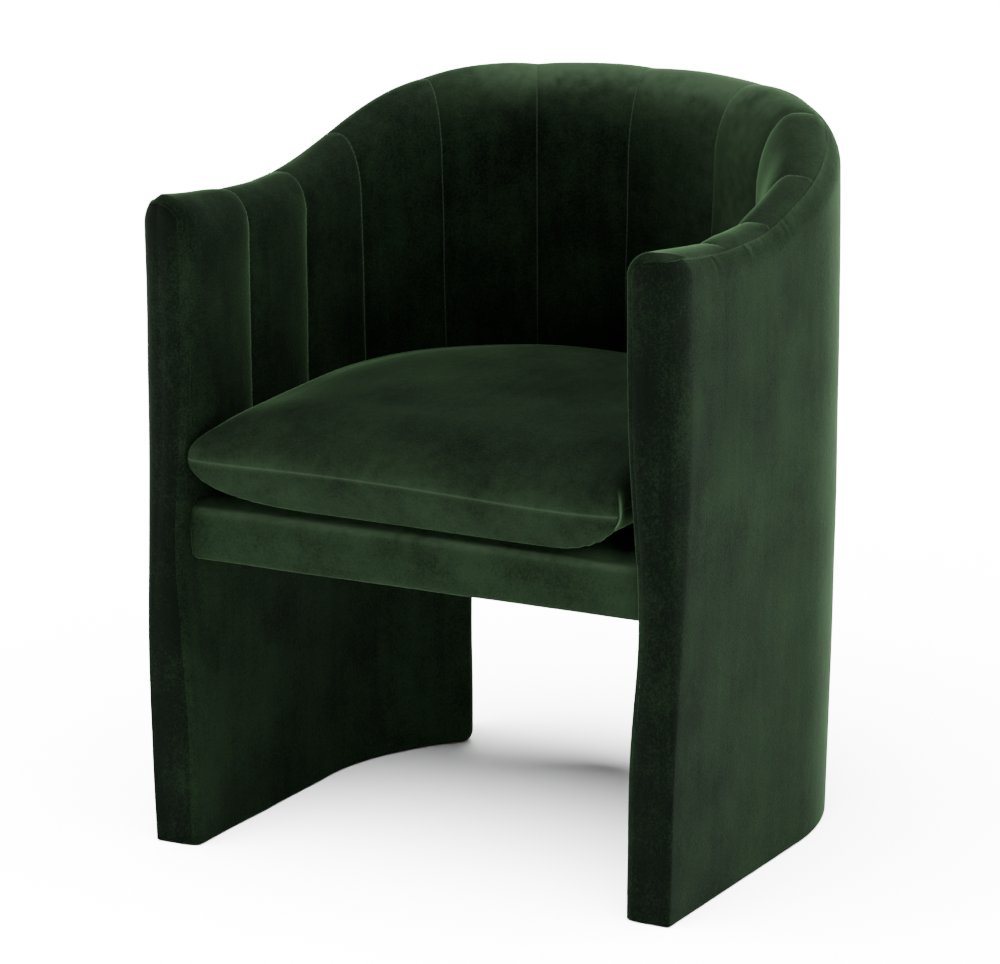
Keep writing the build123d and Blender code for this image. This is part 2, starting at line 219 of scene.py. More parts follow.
def grain(strand, stretch, scale, detail=2.0):
    """Noise on Object coordinates that are first multiplied by a stretch along X, Y and Z."""
    spot = strand.node("ShaderNodeTexCoord", output="Object")
    spot = strand.node("ShaderNodeVectorMath", {"operation": "MULTIPLY"}, {0: spot, 1: stretch})
    return strand.node("ShaderNodeTexNoise", None, {"Vector": spot, "Scale": scale, "Detail": detail})


def blend_colour(strand, share, first, second):
    """A colour between two colours, or colour strands, by a share."""
    return strand.node("ShaderNodeMix", {"data_type": "RGBA"}, {0: share, 6: first, 7: second}, output=2)


def join(shader, strand, roughness=None, colour=None, bump=None):
    """Joins worked-out values to the shader: base colour, roughness, and a (height, strength, distance) bump."""
    for socket, value in (("Base Color", colour), ("Roughness", roughness)):
        if value is not None:
            strand.tree.links.new(value.socket, shader.inputs[socket])
    if bump is not None:
        height, strength, depth = bump
        bumped = strand.node("ShaderNodeBump", None, {"Strength": strength, "Distance": depth, "Height": height})
        strand.tree.links.new(bumped.socket, shader.inputs["Normal"])


def speckled(name, dark, light, scale, detail, rough, relief=None, **constants):
    """One noise mixes two colours, adds its share to a base roughness, and lifts the surface."""
    material, strand, shader = start_finish(name, **constants)
    spots = grain(strand, (1, 1, 1), scale, detail)
    colour = blend_colour(strand, spots, (*dark, 1), (*light, 1))
    base, share = rough
    join(shader, strand, base + spots * share, colour, relief and (spots, *relief))
    return material

# %% [markdown]
# ## Velvet
# Velvet is a short upright pile. Seen straight on, the eye looks down between the fibres and the cloth
# is almost black-green; at a glancing angle their sides catch the light and a pale bloom appears.
# The shader's sheen gives that bloom. The pile also leans: stroked one way it is darker, the other way
# lighter, in soft patches and streaks along the nap. Where a seam parts the pile it opens and shows pale,
# so each piece carries a value for its seams. Each piece also carries a bend value: partly the paler pile
# opened over edges and rolls, partly painted highlight and painted shade where light falls stronger or weaker.
# Each cover has its own lean, because it was cut and sewn separately, so the finish takes a tone; the
# tones also paint light and shade, darker for the inside where it lies in shade, lighter for the rail.

# %% Mix the velvet
pile_dark, pile_light = np.array([0.0014, 0.0042, 0.0016]), np.array([0.0086, 0.0215, 0.0083])
# The first pale green is for painted highlights and pile opened over bends; the second for pile parted at seams.
painted_highlight_pile, parted_pile = (0.050, 0.088, 0.047, 1), (0.050, 0.088, 0.046, 1)


def velvet(name, tone, nap, gain=1.0, bloom=0.42):
    """Pile cloth: a lean, summed from the bend value, patches, mottling, streaks along the nap and tufts, mixes two
    greens; then a pale painted highlight and pale seams.
    """
    material, strand, shader = start_finish(
        name, Sheen_Weight=bloom, Sheen_Roughness=0.27, Sheen_Tint=(0.41, 0.80, 0.38, 1), Specular_IOR_Level=0.08
    )
    patches = grain(strand, (1, 1, 1), 13.0, 3.0)
    mottling = grain(strand, (1, 1, 1), 80.0, 4.0)
    streaks = grain(strand, where(np.array(nap) > 0, 9.0, 70.0), 1.0, 4.0)
    tufts = grain(strand, (1, 1, 1), 460.0, 1.0)
    # The bend value carries painted light: added to the lean it paints lighter pile, or darker pile below zero, and
    # mixed towards the pale green it paints highlights.
    bend = strand.node("ShaderNodeAttribute", {"attribute_name": "bend"}, output="Fac")
    seam = strand.node("ShaderNodeAttribute", {"attribute_name": "seam"}, output="Fac")
    lean = tone + bend * 0.6 + (patches - 0.5) * 1.4 + (mottling - 0.5) * 0.6
    lean = lean + (streaks - 0.5) * 0.7 + (tufts - 0.5) * 1.6
    colour = blend_colour(strand, lean.clamped(), (*(pile_dark * gain), 1), (*(pile_light * gain), 1))
    # Painted highlight: pale green mixed in where the bend value is high, broken up by the patches.
    colour = blend_colour(strand, (bend * (patches * 1.6 + mottling - 0.4)).clamped(), colour, painted_highlight_pile)
    colour = blend_colour(strand, seam**4 * 0.45, colour, parted_pile)
    join(shader, strand, roughness=0.82 + mottling * 0.16, colour=colour, bump=(tufts + mottling, 0.4, 0.0006))
    return material


# Lit and shaded copies of one velvet: the inside's low tone is partly painted shade, the rail's higher tone and gain
# partly painted light, the rest a real difference of nap.
outer_cloth = velvet("velvet_outside", tone=0.60, nap=(0, 0, 1), bloom=0.27)
inner_cloth = velvet("velvet_inside", tone=0.34, nap=(0, 0, 1))
lining_cloth = velvet("velvet_lining", tone=0.60, nap=(0, 0, 1), gain=1.0)
rail_cloth = velvet("velvet_rail", tone=0.70, nap=(1, 0, 0), gain=1.15)
seat_cloth = velvet("velvet_seat", tone=0.55, nap=(0, 1, 0))
print("velvet finishes:", [m.name for m in (outer_cloth, inner_cloth, lining_cloth, rail_cloth, seat_cloth)])

# %% [markdown]
# ## The shell's curves
# In plan the shell is a U: two straight sides and a half circle. Its top edge dips a little along the
# arm and then swoops up to the back. A cover is measured round that U by a distance from the middle of
# the back, and at each distance an upright plane cuts the wall, so a cover is one profile carried along.

# %% Plan and top edge, as in the CAD model
front = cad_low[1]
side_run, back_centre = 0.305, front + 0.305
outer_radius, top_radius = 0.305, 0.315
frame_inner, frame_outer = 0.267, 0.297
crest_radius, crest_run = 0.282, 0.282
inside_half, inside_low_centre, inside_high_centre = 0.248, front + 0.250, front + 0.261
rim_depth, seam_below = 0.033, 0.0085
leg_bottom, rail_bottom, deck_top = 0.0018, 0.310, 0.376
quarter = inside_half * pi / 2
wall_end = quarter + crest_run


def smooth(share):
    """Rises from 0 to 1 with level ends: 3 s squared minus 2 s cubed."""
    share = clip(share, 0, 1)
    return share**2 * (3 - 2 * share)


def bell(distance, width):
    """A bell curve, 1 in the middle: e to the power of minus (distance over width) squared."""
    return exp(-((distance / width) ** 2))


def crest_height(run):
    """Top edge at a run behind the front: a parabola that dips along the arm, plus a smooth swoop to the back."""
    return 0.683 + 0.011 * clip(1 - run / 0.170, 0, 1) ** 2 + 0.085 * smooth((run - 0.185) / 0.345)


def right_arm_lift(run):
    """How the sitter's right arm differs, as sewn by hand: higher in front, lower where its swoop starts."""
    return 0.0055 * smooth((0.20 - run) / 0.12) - 0.014 * bell(run - 0.33, 0.085)


def station(along_channels):
    """The upright plane at a signed distance from mid back: outward direction and the Y of its origin."""
    length = np.abs(along_channels)
    angle = pi / 2 - np.sign(along_channels) * np.minimum(length, quarter) / inside_half
    return cos(angle), sin(angle), front + crest_run - np.maximum(length - quarter, 0)


def reach(radius, centre, across, ahead_share, origin):
    """Distance outward along a plane to a U of that radius: to its straight side, or to its half circle."""
    ahead, across = centre - origin, np.abs(across)
    curved = ahead * ahead_share + sqrt(np.maximum(radius**2 - (ahead * across) ** 2, 0))
    return where(radius * ahead_share <= ahead * across, radius / np.maximum(across, 1e-9), curved)


def ripple(points, size, seed):
    """Soft unevenness between about -1 and 1: a sum of nine sine waves in seeded directions."""
    rng = np.random.default_rng(seed)
    waves = rng.normal(size=(9, 3)) * (2 * pi / size) / 1.7
    phases = rng.uniform(0, 2 * pi, 9)
    return sin(points @ waves.T + phases).mean(-1) * 2


seam_turn = radians(42)
front_roll = 0.008
corner_at_top = 0.030


def arm_edge(height):
    """Half width to the inner front edge of an arm: pinched outward where the seat rail meets it."""
    return 0.2536 + 0.0125 * bell(height - 0.32, 0.13)


print("from mid back to the front:", round(wall_end, 3), "m; top edge", crest_height(np.array([0, 0.56])))

# %% [markdown]
# ## Channelled inside
# The inside is one padded cover, sewn down to the frame in eleven lines about 110 mm apart, and a channel
# is the padding between two of them. So the cover is a profile (up the inside, round the top, over to
# the outer seam) carried round the U and pushed back at each seam. A formula gives the swell: broad and
# flat, with a narrow valley at each seam. The grid is finest there, where the cloth turns quickest.

# %% Lay out the channel grid
def swell(share):
    """Fullness across a channel from seam (-1) to seam (1): (1 - |share|^2.8)^0.7."""
    return (1 - np.abs(share) ** 2.8) ** 0.7


seams_left = np.array([0.122, 0.229, 0.344, 0.442, 0.541, wall_end])
seams_right = np.array([0.115, 0.2245, 0.328, 0.423, 0.541, wall_end])
seam_places = concatenate([-seams_right[::-1], [-0.005], seams_left])
channels = len(seam_places) - 1
last_width = seams_left[-1] - seams_left[-2]

per_channel = 28
step = np.arange(per_channel) / per_channel * 2 - 1
across_share = np.append(np.tile(sin(step * pi / 2), channels), 1.0)
channel_number = np.append(np.repeat(np.arange(channels), per_channel), channels - 1)
channel_width = np.diff(seam_places)[channel_number]
along = seam_places[channel_number] + channel_width * (1 + across_share) / 2

end_turn = linspace(0, pi / 2, 9)[1:]
turn = concatenate([end_turn[::-1], np.zeros(len(along)), end_turn])
pad = len(end_turn)
along = np.pad(along, pad, mode="edge")
across_share = np.pad(across_share, pad, mode="edge")
channel_width = np.pad(channel_width, pad, mode="edge")
front_share = clip((np.abs(along) - seams_left[-2]) / last_width, 0, 1)
end_half = clip(front_share * 2 - 1, 0, 1)

rise = linspace(0, 1, 53)
inner_turn = linspace(0, pi / 2, 15)[1:]
outer_turn = linspace(0, seam_turn, 11)[1:]


def by_row(wall, inner, outer):
    """A column with one value for each row of the profile: up the wall, round the inner roll, the outer roll."""
    return concatenate([wall + 0 * rise, inner + 0 * inner_turn, outer + 0 * outer_turn])[:, None]


print("channel grid:", len(along), "columns by", len(by_row(0, 0, 0)), "rows")

# %% Carry the profile round the U
channel_depth, channel_dip = 0.0070, 0.0035
dx, dy, origin = station(along)
valley = 1 - swell(across_share)
crest_out = reach(crest_radius, front + crest_run, dx, dy, origin)
rim_drop = reach(top_radius, back_centre, dx, dy, origin) - crest_out
low_out = reach(inside_half, inside_low_centre, dx, dy, origin) + channel_depth * valley
high_out = reach(inside_half, inside_high_centre, dx, dy, origin) + channel_depth * valley
crest_at = origin + crest_out * dy - front
top = crest_height(crest_at) + where(along < 0, right_arm_lift(crest_at), 0)
dip = channel_dip * valley * (1 - smooth(end_half * 1.6))
roll_in = crest_out - high_out
roll_fall = roll_in + (0.014 + 0.034 * smooth((0.45 - np.abs(along)) / 0.2)) * (1 - smooth(end_half))

up, inner_roll, outer_roll = rise[:, None], inner_turn[:, None], outer_turn[:, None]
fade = 1 - smooth(outer_roll / seam_turn)
profile_out = concatenate([
    low_out + (high_out - low_out) * up**1.5,
    crest_out - roll_in * cos(inner_roll),
    crest_out + rim_drop * sin(outer_roll),
])
profile_z = concatenate([
    deck_top + (top - dip - roll_fall - deck_top) * up,
    top - dip - roll_fall + roll_fall * sin(inner_roll),
    top - rim_drop * (1 - cos(outer_roll)) - dip * fade,
])
lean = by_row(pi, pi - inner_turn, pi / 2 - outer_turn)
wall_part = by_row(1, cos(inner_turn), 0)
profile_out = profile_out + wall_part * (arm_edge(profile_z) - inside_half - channel_depth) * smooth(end_half)
print("inside profile rises from", round(profile_z.min(), 3), "to", round(profile_z.max(), 3), "m")

# %% [markdown]
# At the front the cover rolls round the arm's edge in a small radius and meets the outer cover in a seam.
# That seam follows the facing: up the inner edge, round the top corner, and back round the rounded
# outer corner to run along the top of the arm. Each row of the grid ends on its own point of that seam.

# %% Roll the front ends to the facing seam
def corner_seam(corner_turn):
    """Half width and run of the seam round the arm's outer front corner, from the side (0) to the front."""
    set_in = 0.011 * cos(corner_turn) ** 2 + 0.002 * sin(corner_turn) ** 2
    radius = corner_at_top - set_in
    return top_radius - corner_at_top + radius * cos(corner_turn), corner_at_top - radius * sin(corner_turn)


end_out = profile_out - front_roll * cos(lean)
end_z = profile_z - front_roll * sin(lean)
seam_out, seam_run = corner_seam(pi / 2 * (1 - outer_turn / seam_turn))
end_out[-len(outer_turn):] = seam_out[:, None]
end_lift = where(along < 0, right_arm_lift(0.0), 0)
end_z[-len(outer_turn):] = (crest_height(seam_run) - seam_below)[:, None] + end_lift
end_run = by_row(0.002, 0.002, seam_run)

turned = 1 - cos(turn)
out = profile_out + (end_out - profile_out) * turned
height = profile_z + (end_z - profile_z) * turned
run = np.broadcast_to(origin - front, out.shape)
run_there = last_width + front_share * (end_run + front_roll - last_width)
run = where(front_share > 0, run_there, run) - front_roll * sin(turn)

seam_gap = where(end_half > 0.5, 1.0, (1 - np.abs(across_share)) * channel_width / 2)
top_gap = by_row(0.1, 0.1, (seam_turn - outer_turn) * rim_depth)
pucker = exp(-seam_gap / 0.012) * (seam_gap > 0.0002)
flat_points = coords(out * dx, run + front + out * dy, height)
swelling = 0.0002 * pucker * sin(height * 2 * pi / 0.023 + along * 40)
swelling = swelling + 0.0008 * ripple(flat_points, 0.12, 4)
swelling = (swelling - 0.0010 * bell(top_gap, 0.004)) * (turn == 0)
out, height = out + swelling * cos(lean), height + swelling * sin(lean)
channel_face = coords(out * dx, run + front + out * dy, height)
channel_normal = coords(cos(lean) * dx, cos(lean) * dy, sin(lean))
print("inside cover spans", channel_face.min((0, 1)).round(3), channel_face.max((0, 1)).round(3))

# %% Close the channelled cover
back_out = np.broadcast_to(reach(frame_inner - 0.001, back_centre, dx, dy, origin), out.shape)
cap_out = reach(frame_outer - 0.002, back_centre, dx, dy, origin)
round_top = linspace(0, 1, len(inner_turn) + len(outer_turn) + 1)[1:]
over = np.append(0 * rise, round_top)[:, None]
under_out = back_out + (cap_out - back_out) * over
under_z = np.minimum(profile_z, top - 0.0255)
under_run = np.maximum(run, 0.0095)
under = coords(under_out * dx, under_run + front + under_out * dy, under_z)
on_arm = smooth((np.abs(along) - quarter) / 0.15)
seam_half = 0.0016
seam_mark = np.maximum(bell(seam_gap, seam_half), bell(top_gap, seam_half) * (0.1 + 0.9 * on_arm))
seam_mark = seam_mark * (1 - 0.25 * on_arm)
# Painted light on the inside cover: a pale band along the top roll, strongest across the middle of the back, partly
# pile opened over the roll and partly painted highlight; and a painted pool of light on the back's inside towards the
# sitter's left, rising up the wall.
over_roll = by_row(0, sin(inner_turn) ** 4, 1)
channel_painted_light = over_roll * (0.10 + 1.20 * smooth((0.27 - np.abs(along + 0.01)) / 0.2))
painted_light_rows = by_row(smooth((rise - 0.25) / 0.6), cos(inner_turn), 0)
channel_painted_light = channel_painted_light + 0.45 * painted_light_rows * bell(along - 0.19, 0.09)
channel_marks = {"seam": seam_mark, "bend": channel_painted_light}
channel_velvet = cloth_shell("channel_velvet", channel_face, under, marks=channel_marks)
pads = [f"channel_pad_{n}_{side}" for n in range(1, len(seams_left) + 1) for side in ("left", "right")]
dress(channel_velvet, "chair", inner_cloth, "velvet", *pads)

# %% [markdown]
# ## Outer cover
# The outside and the two arm fronts are one cover. It hangs straight from the top seam, leans out by
# 10 mm towards the top, and turns the front corners in a radius that is generous at the top and almost
# sharp at the floor. Between the legs it is tucked under the back instead of reaching the floor.
# The same upright planes carry its profile, and short runs of columns shape the corner and the facing.

# %% Columns and rows of the outer cover
leg_end, arm_run = 0.1885, 0.1
columns_back = linspace(0, leg_end, 49)
columns_side = linspace(leg_end + 0.0008, wall_end - arm_run, 90)
columns_arm = linspace(0, 1, 19)[1:]
columns_corner = linspace(0, pi / 2, 13)[1:]
columns_facing = linspace(0, 1, 17)[1:] * 0.45 + 0.55 * sin(linspace(0, pi / 2, 17)[1:])
rows_low = sin(linspace(0, pi / 2, 40))
rows_mid = linspace(0, 1, 50)[1:]
rows_roll = linspace(pi / 2, seam_turn, 13)[1:]
mid_start, tuck_share, tuck_depth, tuck_round = 0.319, 0.82, 0.036, 0.005
foot_round, outer_thick = 0.015, 0.006

walls = concatenate([columns_back, columns_side])
count = len(walls) + len(columns_arm) + len(columns_corner) + len(columns_facing)
print("outer cover:", 2 * count - 1, "columns by", len(rows_low) + len(rows_mid) + len(rows_roll), "rows")

# %% The outside, up to the arm's front
def bottom_edge(gap):
    """Height of the leg's lower edge at a gap from its rear end: a 15 mm round at the corner."""
    rest = clip(foot_round - gap, 0, foot_round)
    return leg_bottom + foot_round - sqrt(foot_round**2 - rest**2)


def lean_out(share):
    """Outer radius at a share of the height: from the foot's to the rim's, with a low belly between them."""
    return outer_radius + (top_radius - outer_radius) * share + 0.0035 * (1 - (2 * share - 1) ** 2)


def rows_up(bottom, rim_z):
    """Heights of the rows below the roll: bottom to the underside level, then on to the rim."""
    low = bottom + (mid_start - bottom) * rows_low[:, None] + 0 * rim_z
    return concatenate([low, mid_start + (rim_z - mid_start) * rows_mid[:, None]])


def outside_wall(set_in):
    """The wall's rows on upright planes: leaning side, then the roll to the top seam, all set in by a distance."""
    dx, dy, origin = station(walls)
    crest_out = reach(crest_radius, front + crest_run, dx, dy, origin)
    drop = reach(top_radius, back_centre, dx, dy, origin) - crest_out
    top = crest_height(origin + crest_out * dy - front)
    gap = where(walls > leg_end, (walls - leg_end) * 1.23, 1.0)
    z = rows_up(bottom_edge(gap), top - drop)
    radius = lean_out((z - leg_bottom) / (top - drop - leg_bottom))
    out = reach(radius - set_in, back_centre, dx, dy, origin)
    tuck = len(rows_low)
    turn_up = clip((rows_low - tuck_share) / (1 - tuck_share), 0, 1)[:, None]
    tucked = out[tuck] - tuck_depth * clip(1 - rows_low / tuck_share, 0, 1)[:, None]
    tucked = tucked - tuck_round * (1 - sqrt(1 - (1 - turn_up) ** 2))
    under_back = walls <= leg_end
    out[:tuck] = where(under_back, tucked, out[:tuck])
    lifted = mid_start - tuck_round * sqrt(1 - turn_up**2) + set_in * (1 - rows_low[:, None])
    z[:tuck] = where(under_back, lifted, z[:tuck])
    roll = rows_roll[:, None]
    out = concatenate([out, crest_out + (drop - set_in) * sin(roll)])
    z = concatenate([z, top - drop + (drop - set_in) * cos(roll)])
    return coords(out * dx, origin + out * dy, z)


def arm_front(set_in):
    """The arm's last run, its rounded corner and its facing, in that order, set in by a distance."""
    spread = concatenate([columns_arm, np.ones(len(columns_corner) + len(columns_facing))])
    turn = concatenate([0 * columns_arm, columns_corner, np.full(len(columns_facing), pi / 2)])
    inward = concatenate([0 * columns_arm, 0 * columns_corner, columns_facing])
    rim_z = crest_height(arm_run * (1 - spread)) - rim_depth
    z = rows_up(leg_bottom, rim_z)
    g = cos(rows_roll)[:, None] / cos(seam_turn)
    z = concatenate([z, rim_z + g * rim_depth * cos(seam_turn)])
    z_low = np.minimum(z, rim_z)
    radius = lean_out((z_low - leg_bottom) / (rim_z - leg_bottom))
    corner = 0.003 + (corner_at_top - 0.003) * smooth((z_low - 0.13) / 0.37)
    below = np.zeros(len(rows_low) + len(rows_mid))
    side_in = np.append(below, rim_depth * (1 - sin(rows_roll)))[:, None]
    front_in = np.append(below, 0.002 * g)[:, None]
    bend = np.maximum(corner - set_in, 0.0006)
    bent = bend - side_in * cos(turn) ** 2 - front_in * sin(turn) ** 2
    bent = np.maximum(bent, 0.0004)
    x = radius - set_in - bend + bent * cos(turn)
    run = set_in + bend - bent * sin(turn)
    run = where(turn == 0, arm_run + spread * (set_in + bend - arm_run), run)
    return x, run, z, inward


print("outer wall rows rise to", round(float(outside_wall(0.0)[..., 2].max()), 3), "m")

# %% The facing, gathers and seams
def facing(x, run, z, inward):
    """Moves the facing's columns in to the seam by their share, under its rounded top corner, crowned."""
    corner_start = 0.66
    seam_x = arm_edge(np.minimum(z, corner_start)) + front_roll
    corner = crest_radius - (arm_edge(corner_start) + front_roll)
    inside = inward > 0
    start = x[:, len(columns_arm) + len(columns_corner) - 1][:, None]
    across = start + (seam_x - start) * inward
    beyond = clip(crest_radius - across, 0, corner)
    seam_z = crest_height(0.0) - seam_below - corner + sqrt(corner**2 - beyond**2)
    rim_z = crest_height(0.0) - rim_depth
    over = clip(z - rim_z, 0, None) / (rim_depth * cos(seam_turn))
    lowered = where(z > rim_z, rim_z + over * (seam_z - rim_z), z)
    gap = np.minimum(np.abs(across - seam_x), np.abs(seam_z - lowered) + 0.0002)
    crown = 0.0022 * sin(pi * inward) * smooth((z - 0.02) / 0.1)
    fall = 0.002 * exp(-gap / 0.004) - crown
    moved = ((across, x), (fall, run), (lowered, z), (gap, 1.0))
    return [where(inside, new, old) for new, old in moved]


def half_cover(set_in):
    """One half of the cover, set in by a distance, and each point's gap to the facing's seam."""
    x, run, z, inward = arm_front(set_in)
    x, run, z, gap = facing(x, run, z, inward)
    if set_in:
        run = where(inward > 0, set_in, run)
    wall = outside_wall(set_in)
    gap = concatenate([np.ones(wall.shape[:2]), gap], axis=1)
    return concatenate([wall, coords(x, front + run, z)], axis=1), gap


half, facing_gap = half_cover(0.0)
under_half, _ = half_cover(outer_thick)
print("half of the outer cover:", half.shape[1], "columns by", half.shape[0], "rows")

# %% Gathers and marks of the outer cover
def gathers(points, seam_z, run):
    """Short uneven pleats below the arm's seam: three sines along the arm, in bunches, dying out downwards."""
    below = clip(seam_z - points[..., 2], 0, None)
    length = 0.007 + 0.004 * sin(run * 2 * pi / 0.041)
    strength = exp(-below / length) * (1 - exp(-below / 0.003)) * smooth((0.36 - run) / 0.14)
    bunches = 0.55 + 0.45 * sin(run * 2 * pi / 0.083 + 0.7)
    pleats = sin(run * 2 * pi / 0.0093) + sin(run * 2 * pi / 0.0141 + 1.3)
    return strength * bunches * (pleats + 0.7 * sin(run * 2 * pi / 0.0237))


seam_z = half[-1, :, 2]
run = half[..., 1] - front
outward = half - under_half
outward = outward / np.maximum(np.linalg.norm(outward, axis=-1, keepdims=True), 1e-6)
low_share = clip((half[..., 2] - 0.012) / 0.05, 0, 1)
on_side = np.arange(half.shape[1]) < len(walls) + len(columns_arm)
pleats = gathers(half, seam_z, run) * on_side
loose = 0.0007 * pleats + 0.0005 * ripple(half, 0.20, 9) * low_share
loose[-1] = 0
crease = bell(seam_z - half[..., 2], 0.0035) * on_side
half = half + outward * (loose - 0.0008 * crease)[..., None]
seam_gap = where(on_side, seam_z - half[..., 2], facing_gap)
side_show = 0.1 + 0.9 * smooth((0.32 - run) / 0.15)
facing_show = 0.15 + 0.6 * smooth((half[..., 2] - 0.63) / 0.04)
seam_mark = bell(seam_gap, 0.002) * where(on_side, side_show, facing_show)
# Painted light on the outer cover: a pale line beside the seams, partly pile opened there and partly painted highlight;
# the pleats lighter on their crests and darker in their hollows, painted highlight and painted shade; and painted shade
# darkening the cover towards the arm's front.
outer_painted_light = 0.30 * exp(-np.minimum(seam_gap, 0.1) / 0.006) + 0.25 * pleats
outer_painted_light = outer_painted_light - 0.85 * exp(-clip(run, 0, None) / 0.07)
print("pleats stand between", loose.min().round(5), "and", loose.max().round(5), "m")

# %% Close the outer cover
dx, dy, origin = station(walls)
column_run = origin + reach(crest_radius, front + crest_run, dx, dy, origin) * dy - front
column_run = concatenate([column_run, arm_run * (1 - columns_arm), 0 * columns_corner, 0 * columns_facing])
lift_start = 0.42


def right_half(points):
    """The half turned over for the sitter's right, with that arm's lift growing from the seat up to the seam."""
    lift = right_arm_lift(column_run) * smooth((points[..., 2] - lift_start) / (seam_z - lift_start))
    return points * [-1, 1, 1] + lift[..., None] * [0, 0, 1]


def whole(right_part, left_part):
    """Two halves side by side, joined at the middle column that they share."""
    return concatenate([right_part[:, :0:-1], left_part], axis=1)


face, under = (whole(right_half(points), points) for points in (half, under_half))
marks = {"seam": whole(seam_mark, seam_mark), "bend": whole(outer_painted_light, outer_painted_light)}
keep = np.ones((face.shape[0] - 1, face.shape[1] - 1), bool)
middle = half.shape[1] - 1
cut = len(columns_back) - 1
keep[: len(rows_low) - 1, [middle + cut, middle - cut - 1]] = False
outer_velvet = cloth_shell("outer_velvet", face, under, keep, marks)
dress(outer_velvet, "chair", outer_cloth, "velvet", "outer_cover")

# %% [markdown]
# ## Leg linings
# Under the seat each leg is a curved wall about 52 mm thick. Its inner face is lined with the same velvet,
# which starts at the facing's seam, rolls round the inner front edge, follows the curve of the leg and
# turns round its rear end. One path in plan, with a rounded corner, is carried up from the floor.

# %% Lay out a leg lining
lining_half, lining_centre, lining_thick = 0.253, front + 0.278, 0.007
bend, tall_run, tall_top, low_top, rear_low = 0.009, 0.0278, 0.3775, 0.3136, 0.0045
stations = linspace(wall_end - 0.010, leg_end + 0.009, 96)
stations = np.sort(np.append(stations, [wall_end - 0.0275, wall_end - 0.028]))[::-1]
dx, dy, origin = station(stations)
run = where(stations > quarter, origin - front, 1.0)
roll_turn = linspace(pi / 2, 0, 7)[:-1]
rear_turn = linspace(0, pi / 2, 8)[1:]
rear_run = linspace(0, 1, 7)[1:]
rolls, rears = len(roll_turn), len(rear_turn) + len(rear_run)

gap = [np.ones(rolls), (stations - leg_end) * 1.02, bend * (1 - sin(rear_turn)), 0 * rear_run]
bottom = bottom_edge(concatenate(gap))
bottom[-len(rear_run):] -= (bottom[-1] - rear_low) * sqrt(sin(pi * rear_run))
tall = concatenate([np.ones(rolls), run < tall_run, np.zeros(rears)])
z = bottom + (where(tall > 0, tall_top, low_top) - bottom) * linspace(0, 1, 48)[:, None]
print("leg lining:", z.shape[1], "columns by", len(z), "rows")

# %% Shape its front roll, wall and rear end
inner = reach(lining_half, lining_centre, dx, dy, origin)
edge = arm_edge(z)
wall_out = inner + (edge[:, rolls:-rears] - inner) * (1 - smooth(run / 0.13))
wall = coords(wall_out * dx, origin + wall_out * dy)
lip = edge[:, :rolls]
roll_y = front + 0.010 - front_roll * sin(roll_turn)
rolled = coords(lip + front_roll * (1 - cos(roll_turn)), roll_y)

ux, uy, uo = station(np.array(leg_end))
rear_in = reach(lining_half, lining_centre, ux, uy, uo)
rear_out = reach(outer_radius, back_centre, ux, uy, uo) - 0.0015
outward, rearward = np.array([ux, uy]), np.array([-uy, ux])
start = np.array([0, uo]) + outward * rear_in
middle = start - rearward * bend + outward * bend
corner = middle + bend * (rearward * sin(rear_turn)[:, None] - outward * cos(rear_turn)[:, None])
grown = lean_out((z[:, -1] - leg_bottom) / 0.73)[:, None, None] - outer_radius
across = start + outward * (bend + (rear_out + grown - rear_in - bend) * rear_run[:, None])
rear = concatenate([np.broadcast_to(corner, (len(z), *corner.shape)), across], axis=1)
print("the rear end is", round(float(rear_out - rear_in) * 1000, 1), "mm across")

# %% Line both legs
hidden_side = frame_inner - 0.0008
hidden_out = np.maximum(reach(hidden_side, back_centre, dx, dy, origin), wall_out + 0.002)
hidden_wall = coords(hidden_out * dx, origin + hidden_out * dy)
hidden_lip = coords(0 * lip + hidden_side, front + 0.0095)
angle = np.append(rear_turn, np.full(len(rear_run), pi / 2))[:, None]
hidden_rear = rear + lining_thick * (outward * cos(angle) - rearward * sin(angle))
shown, hidden = (rolled, wall, rear), (hidden_lip, hidden_wall, hidden_rear)
for side, name in ((1, "left"), (-1, "right")):
    face, under = (np.dstack([concatenate(part, axis=1), z]) * [side, 1, 1] for part in (shown, hidden))
    face[..., 0] += side * 0.0007 * ripple(face, 0.12, 21)
    lining = cloth_shell(f"lining_velvet_{name}", face, under)
    dress(lining, "chair", lining_cloth, "velvet", f"leg_lining_{name}")

# %% [markdown]
# ## Seat rail and deck
# The front rail is wrapped in velvet over a thin wadding, so its edges are soft and its ends curve away
# into the arms. Behind it the deck carries the loose cushion. A rounded path across the rail, carried
# from arm to arm and drawn in at both ends, makes the wrap; the deck is a flat sheet inside the U.

# %% Wrap the front rail
def rail_path(inset):
    """Run and height round the rail: under it, round its lower edge, up the face, round the top edge, back."""
    turn = linspace(0, pi / 2, 9)
    bend = 0.009 - inset
    low, high, near = rail_bottom + inset, deck_top - 0.008 - inset, 0.019 + inset
    under = coords(linspace(0.062, near + bend, 7)[:-1], low)
    lower = coords(near + bend - bend * sin(turn), low + bend - bend * cos(turn))
    rise = linspace(0, 1, 13)[1:-1]
    crown = 0.0016 * sin(pi * rise)
    face = coords(near - crown, low + bend + (high - low - 2 * bend) * rise)
    upper = coords(near + bend - bend * cos(turn), high - bend + bend * sin(turn))
    rise_back = smooth(linspace(0, 1, 7)[1:])
    over = coords(linspace(near + bend, 0.045, 7)[1:], high + (deck_top - inset - high) * rise_back)
    return concatenate([under, lower, face, upper, over])


